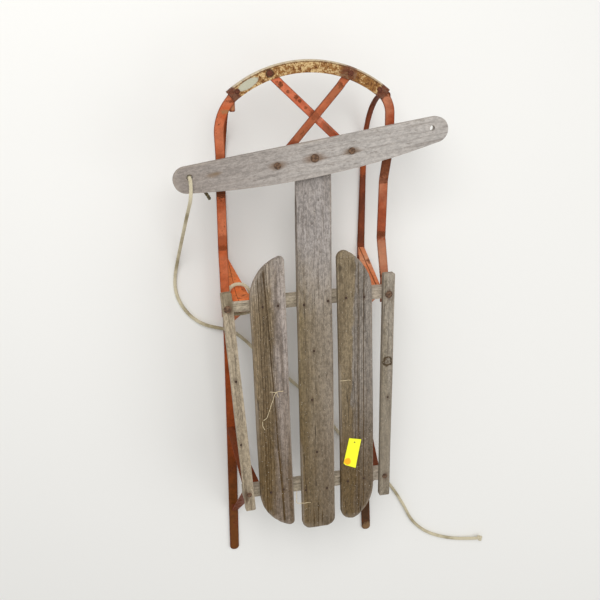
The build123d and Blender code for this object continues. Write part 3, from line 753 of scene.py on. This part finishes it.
# Bolts, nuts, washer and rivets. All are plain steel, brown with rust, and the heads are domed. The
# bolts hold the side rails and the steering bar and push the straps. The rivets hold the bumper to the
# front bars and to the straps.
here = new_finish("rusty_steel")
patch = here.noise(240, 4, 0.6)
grit = here.noise(900, 2)
colour = patch.between(0.4, 0.62).mix(paint(82, 64, 52), paint(120, 94, 74)).shaded(0.65 + grit * 0.6)
rusty_steel = coat(here, colour, 0.8, patch + grit * 0.4, 0.0004, gloss=0.25)
here = new_finish("red_rust")
grit = here.noise(700, 3)
colour = grit.between(0.35, 0.65).mix(paint(70, 40, 30), paint(112, 68, 52))
red_rust = coat(here, colour, 0.85, grit, 0.0004, gloss=0.2)
for node, body, finish in (
    ("rail_bolts", "sled", rusty_steel),
    ("corner_rivets", "sled", red_rust),
    ("strap_rivets", "sled", red_rust),
    ("pivot_washer", "sled", rusty_steel),
    ("pivot_bolt", "sled", rusty_steel),
    ("steering_bolt_left", "steering", rusty_steel),
    ("steering_bolt_right", "steering", rusty_steel),
):
    shown(solid_mesh(node, 0.0009), node + "_rusty", body, finish, [node])

# Steering bar. One thick board, planed once, with its rear edge swelling to the middle. It lay on top
# and got the most sun, so it is the palest piece, with rust bled round its bolts.
BAR_TURN = 8
# (x, y), radius, colour, strength: round the three bolts, and two spots on the left
bar_stains = [
    ((0.001, 0.3597), 0.0125, paint(112, 88, 68), 0.75),
    ((-0.0663, 0.3502), 0.01, paint(112, 90, 70), 0.75),
    ((0.0683, 0.3692), 0.01, paint(108, 86, 66), 0.75),
    ((-0.18, 0.341), 0.007, paint(118, 96, 72), 0.55),
    ((-0.172, 0.3435), 0.005, paint(122, 102, 80), 0.5),
]
bar_wood = weathered_wood(
    "steering_bar_wood",
    turn=BAR_TURN - 90,
    sunny=(-0.3, 0.15),
    brown=paint(142, 133, 126),
    grey=paint(172, 166, 160),
    groove=paint(116, 107, 99),
    rings=(0.0, 0.2, 0.4, 0.25),
    seed=41,
    stains=bar_stains,
    cracks=0.25,
    speckled=0.3,
)
bar = solid_mesh("steering_bar", 0.0035, 4)
lay = radians(BAR_TURN)
score(bar, (cos(lay), sin(lay), 0), 0.014)
score(bar, (-sin(lay), cos(lay), 0), 0.004)
wear(bar, BAR_TURN - 90, 0.0003, 0.0008, 41)
shown(bar, "steering_bar_worn", "steering", bar_wood, ["steering_bar"])

# Tow rope. Braided cotton, 7 mm thick and 1.35 m long, limp with age. It is knotted under the bar's
# left hole, drops over the bar's rear edge and lies across the floor under the sled to a second knot.
ROUTE = [
    (-0.2198, 0.3393, 0.1587),
    (-0.2198, 0.3393, 0.1825),
    (-0.2195, 0.32, 0.1825),
    (-0.2215, 0.2995, 0.177),
    (-0.2235, 0.281, 0.151),
    (-0.226, 0.253, 0.11),
    (-0.2295, 0.222, 0.072),
    (-0.235, 0.186, 0.04),
    (-0.242, 0.148, 0.014),
    (-0.249, 0.112, 0.0036),
    (-0.249, 0.082, 0.0036),
    (-0.2395, 0.054, 0.0036),
    (-0.2215, 0.0275, 0.0036),
    (-0.197, 0.009, 0.005),
    (-0.169, 0.002, 0.013),
    (-0.143, -0.005, 0.013),
    (-0.118, -0.029, 0.005),
    (-0.092, -0.061, 0.0036),
    (-0.056, -0.097, 0.0036),
    (-0.017, -0.14, 0.0036),
    (0.028, -0.187, 0.0036),
    (0.062, -0.242, 0.0036),
    (0.101, -0.3, 0.005),
    (0.134, -0.343, 0.013),
    (0.168, -0.38, 0.011),
    (0.205, -0.424, 0.0036),
    (0.237, -0.481, 0.0036),
    (0.257, -0.528, 0.0036),
    (0.291, -0.564, 0.0036),
    (0.334, -0.587, 0.0036),
    (0.384, -0.602, 0.0036),
    (0.424, -0.604, 0.0075),
]
ROPE_RADIUS = 0.0035
STRAND_RADIUS = 0.00115
BRAID_PITCH = 0.024


def smooth_line(name, points, cyclic=False, resolution=12):
    """Points read off the smooth line that a row of control points gives."""
    line = bpy.data.curves.new(name, "CURVE")
    line.dimensions = "3D"
    spline = line.splines.new("NURBS")
    spline.points.add(len(points) - 1)
    for point, place in zip(spline.points, points):
        point.co = (*place, 1)
    spline.order_u = 3
    spline.use_endpoint_u = not cyclic
    spline.use_cyclic_u = cyclic
    line.resolution_u = resolution
    carrier = bpy.data.objects.new(name, line)
    bpy.context.scene.collection.objects.link(carrier)
    bpy.context.view_layer.update()
    data = bpy.data.meshes.new_from_object(carrier)
    read = [vertex.co.copy() for vertex in data.vertices]
    bpy.data.objects.remove(carrier)
    bpy.data.meshes.remove(data)
    return read


def even_steps(points, spacing):
    """The same line with points at even steps along it."""
    total = sum((after - before).length for before, after in zip(points, points[1:]))
    step = total / round(total / spacing)
    steps = [points[0]]
    owed = step
    for before, after in zip(points, points[1:]):
        run = (after - before).length
        while owed <= run:
            steps.append(before.lerp(after, owed / run))
            owed += step
        owed -= run
    return steps


def braided(name, points, radius, strand, pitch, material):
    """A round braid along the points: strands that wind both ways round a core, over and under."""
    tangents = [(after - before).normalized() for before, after in zip(points, points[1:])]
    tangents.append(tangents[-1])
    side = tangents[0].orthogonal().normalized()
    sides = []
    for tangent in tangents:
        side = (side - tangent * side.dot(tangent)).normalized()
        sides.append(side)
    line = bpy.data.curves.new(name, "CURVE")
    line.dimensions = "3D"
    line.bevel_depth = strand
    line.bevel_resolution = 1
    line.use_fill_caps = True
    winding = radius - strand
    for way in (-1, 1):
        for strand_number in range(4):
            spline = line.splines.new("POLY")
            spline.points.add(len(points) - 1)
            travelled = 0
            for number, (point, tangent, side) in enumerate(zip(points, tangents, sides)):
                if number:
                    travelled += (points[number] - points[number - 1]).length
                angle = way * 2 * pi * travelled / pitch + strand_number * pi / 2
                lift = way * sin(4 * 2 * pi * travelled / pitch) * strand * 0.35
                arm = Matrix.Rotation(angle, 3, tangent) @ side
                spline.points[number].co = (*(point + arm * (winding + lift)), 1)
    core = line.splines.new("POLY")
    core.points.add(len(points) - 1)
    for number, point in enumerate(points):
        core.points[number].co = (*point, 1)
        core.points[number].radius = (winding + strand * 0.3) / strand
    carrier = bpy.data.objects.new(name + "_line", line)
    bpy.context.scene.collection.objects.link(carrier)
    bpy.context.view_layer.update()
    data = bpy.data.meshes.new_from_object(carrier)
    bpy.data.objects.remove(carrier)
    data.name = name
    data.materials.clear()
    data.materials.append(material)
    data.shade_smooth()
    piece = bpy.data.objects.new(name, data)
    bpy.context.scene.collection.objects.link(piece)
    return piece


here = new_finish("rope_cotton")
dirt_and_shade = here.noise(16, 4, 0.6).between(0.42, 0.64)
fluff = here.noise(1400, 3)
colour = dirt_and_shade.mix(paint(206, 196, 168), paint(158, 146, 116)).shaded(0.7 + fluff * 0.6)
rope_cotton = coat(here, colour, 0.9, fluff, 0.0003)
# radius, strand's radius and pitch of the rope where it is pulled tight, and at its tail
TIGHT_ROPE = (0.0031, 0.001, 0.02)
TAIL_ROPE = (0.003, 0.001, 0.02)

rope_line = even_steps(smooth_line("rope_route", ROUTE), 0.0022)
rope = braided("rope_braid", rope_line, ROPE_RADIUS, STRAND_RADIUS, BRAID_PITCH, rope_cotton)
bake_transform(rope)
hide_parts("rope")


def knot(name, middle, radius, body, node):
    """A tight overhand knot of the same rope, as large as its node."""
    turns = [2 * pi * step / 24 for step in range(24)]
    size = (radius - TIGHT_ROPE[0]) / 3
    bends = [
        Vector((sin(t) + 2 * sin(2 * t), cos(t) - 2 * cos(2 * t), -1.6 * sin(3 * t))) * size for t in turns
    ]
    loop = smooth_line(name + "_route", [bend + Vector(middle) for bend in bends], cyclic=True)
    loop.append(loop[0])
    piece = braided(name, even_steps(loop, 0.0016), *TIGHT_ROPE, rope_cotton)
    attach(piece, body)
    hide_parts(node)
    return piece


low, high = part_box("rope_knot")
top_knot = knot("rope_knot_tied", (low + high) / 2, 0.0082, "steering", "rope_knot")
low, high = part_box("rope_end_knot")
end_knot = knot("rope_end_knot_tied", (low + high) / 2, 0.0077, "sled", "rope_end_knot")
here = new_finish("rope_dirt")
dirt = here.noise(300, 3)
colour = dirt.between(0.35, 0.65).mix(paint(70, 62, 42), paint(116, 104, 76))
rope_dirt = coat(here, colour, 0.95, dirt, 0.0004)
TAIL = [
    (-0.2215, 0.3385, 0.1515),
    (-0.212, 0.331, 0.1525),
    (-0.201, 0.32, 0.1525),
    (-0.1925, 0.3085, 0.151),
    (-0.1875, 0.3, 0.149),
    (-0.1845, 0.2935, 0.147),
]
tail_line = even_steps(smooth_line("tail_route", TAIL), 0.0016)
rope_tail = braided("rope_tail", tail_line, *TAIL_ROPE, rope_dirt)
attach(rope_tail, "steering")

# Turn of rope on the left front knee. It is a short length of the same cotton rope, looped round the
# knee under the front beam and left there when an older tow rope was cut away.
RING = [
    (-0.1575, 0.088, 0.108),
    (-0.158, 0.104, 0.106),
    (-0.1525, 0.114, 0.103),
    (-0.1445, 0.1185, 0.101),
    (-0.1345, 0.1195, 0.1),
    (-0.1245, 0.117, 0.102),
    (-0.1155, 0.108, 0.105),
    (-0.1135, 0.088, 0.108),
    (-0.1135, 0.067, 0.109),
    (-0.1225, 0.0625, 0.109),
    (-0.149, 0.0625, 0.109),
    (-0.1575, 0.067, 0.109),
]
ring_line = smooth_line("knee_ring_route", RING, cyclic=True)
ring_line.append(ring_line[0])
ring_line = even_steps(ring_line, 0.0022)
knee_ring = braided("knee_rope_tied", ring_line, ROPE_RADIUS, STRAND_RADIUS, BRAID_PITCH, rope_cotton)
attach(knee_ring, "sled")
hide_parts("knee_rope")

# Twine. Thin bits of pale, fuzzy twine, snagged on the boards and lying loose on the deck. A long one
# with side ends lies on the left slat, and there are short ones at the plank's rear and on the right slat.
here = new_finish("twine_straw")
fluff = here.noise(900, 2)
colour = fluff.between(0.3, 0.7).mix(paint(196, 176, 138), paint(226, 210, 176))
straw = coat(here, colour, 0.95, fluff, 0.0002)
# (x, y) of each bend, on top of the deck
TWINE = [
    [
        (-0.0668, -0.0868),
        (-0.0806, -0.0872),
        (-0.0862, -0.0995),
        (-0.0925, -0.118),
        (-0.1001, -0.1391),
        (-0.1093, -0.1469),
    ],
    [(-0.0925, -0.0862), (-0.0806, -0.0878), (-0.0702, -0.0856)],
    [(-0.1093, -0.1469), (-0.1098, -0.156), (-0.1051, -0.1655)],
    [(-0.0806, -0.0872), (-0.0762, -0.0985)],
    [(-0.0457, -0.3099), (-0.046, -0.325), (-0.0464, -0.3389), (-0.0331, -0.3412), (-0.0143, -0.3417)],
    [(0.0472, -0.0796), (0.0573, -0.0789), (0.0668, -0.0796), (0.0695, -0.0823)],
]
line = bpy.data.curves.new("twine", "CURVE")
line.dimensions = "3D"
line.bevel_depth = 0.0008
line.bevel_resolution = 1
line.use_fill_caps = True
# so that the twine sways the same way each time
noise.seed_set(1)
for run in TWINE:
    laid = even_steps([Vector((x, y, DECK_TOP + 0.0014)) for x, y in run], 0.003)
    spline = line.splines.new("POLY")
    spline.points.add(len(laid) - 1)
    for point, place in zip(spline.points, laid):
        sway = noise.noise_vector(place * 130) * 0.0011
        point.co = (place.x + sway.x, place.y + sway.y, place.z + abs(sway.z) * 0.5, 1)
        point.radius = 0.75 + noise.noise(place * 300) * 0.5
carrier = bpy.data.objects.new("twine_line", line)
bpy.context.scene.collection.objects.link(carrier)
bpy.context.view_layer.update()
twine_data = bpy.data.meshes.new_from_object(carrier)
bpy.data.objects.remove(carrier)
twine_data.materials.clear()
twine_data.materials.append(straw)
twine = bpy.data.objects.new("twine_bits", twine_data)
bpy.context.scene.collection.objects.link(twine)
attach(twine, "sled")

# Tag. A small blank tag of stiff yellow card with a punched hole, a clipped corner and a round orange
# sticker, laid on the right slat. Its front edge lies flat and its rear corner curls up a little.
here = new_finish("tag_card")
mottle = here.noise(200, 2)
sticker = (here.distance((0.0606, -0.2585, 0.1567)) + (mottle - 0.5) * 0.004).between(0.0082, 0.0062)
colour = sticker.mix(paint(250, 250, 40), paint(255, 176, 20)).shaded(0.92 + mottle * 0.2)
punched = here.distance((0.0762, -0.2177, 0.1562)).between(0.0019, 0.0012)
colour = punched.mix(colour, paint(120, 108, 40))
tag_card = coat(here, colour, 0.6)
# corners: front left, front right, rear right, rear left
TAG = [
    Vector((0.065, -0.2072, 0.1562)),
    Vector((0.0901, -0.213, 0.1562)),
    Vector((0.0774, -0.275, 0.157)),
    Vector((0.0521, -0.2644, 0.157)),
]
TAG_CURL = 0.0018
tag = bmesh.new()
bmesh.ops.create_grid(tag, x_segments=8, y_segments=14, size=0.5)
for vertex in tag.verts:
    across, along = vertex.co.x + 0.5, vertex.co.y + 0.5
    top = TAG[0].lerp(TAG[1], across)
    low = TAG[3].lerp(TAG[2], across)
    vertex.co = low.lerp(top, along) + Vector((0, 0, TAG_CURL * (1 - along) ** 3 * across))
corner = TAG[3] + Vector((0.0015, 0.0015, 0))
everything = tag.verts[:] + tag.edges[:] + tag.faces[:]
bmesh.ops.bisect_plane(
    tag, geom=everything, plane_co=corner, plane_no=(-0.75, -0.66, 0), clear_outer=True
)
bmesh.ops.solidify(tag, geom=tag.faces[:], thickness=0.0004)
shown(tag, "blank_tag", "sled", tag_card)

# Studio. A plain pale floor under the runners, a wide soft lamp above the sled's front, a weaker one at
# its right and an even sky.
floor = bmesh.new()
bmesh.ops.create_grid(floor, x_segments=1, y_segments=1, size=12)
bmesh.ops.translate(floor, verts=floor.verts, vec=(0, 0, -0.0004))
floor_data = bpy.data.meshes.new("floor")
floor.to_mesh(floor_data)
floor.free()
here = new_finish("floor_paint")
floor_data.materials.append(coat(here, paint(236, 235, 231), 0.9))
floor_piece = bpy.data.objects.new("floor", floor_data)
bpy.context.scene.collection.objects.link(floor_piece)

world = bpy.data.worlds.new("sky")
world.use_nodes = True
world.node_tree.nodes["Background"].inputs["Color"].default_value = (1, 1, 1, 1)
world.node_tree.nodes["Background"].inputs["Strength"].default_value = 0.55
bpy.context.scene.world = world
for name, place, size, power in (
    ("key_lamp", (-0.5, 1.5, 2.2), 1.6, 40),
    ("fill_lamp", (1.6, -0.6, 1.8), 1.6, 12),
):
    lamp = bpy.data.lights.new(name, "AREA")
    lamp.size = size
    lamp.energy = power
    holder = bpy.data.objects.new(name, lamp)
    bpy.context.scene.collection.objects.link(holder)
    aim = (Vector((0, 0.05, 0.1)) - Vector(place)).to_track_quat("-Z", "Y")
    holder.matrix_world = Matrix.Translation(place) @ aim.to_matrix().to_4x4()

# Camera. It stands where the photographer did, above the sled's left front corner, and looks down on
# the deck. These are its right, upward and backward directions and its place.
right = Vector((0.97577902, -0.02399327, 0.21738179))
up = Vector((0.09159043, 0.94719582, -0.30637098))
back = right.cross(up)
eye = Vector((-0.334285, 0.585342, 1.581152))
camera = bpy.data.cameras.new("camera")
camera.sensor_width = 36
camera.lens = 49.38
viewer = bpy.data.objects.new("camera", camera)
bpy.context.scene.collection.objects.link(viewer)
viewer.matrix_world = Matrix((right, up, back)).transposed().to_4x4()
viewer.matrix_world.translation = eye
bpy.context.scene.camera = viewer

bpy.context.scene.view_settings.view_transform = "Standard"
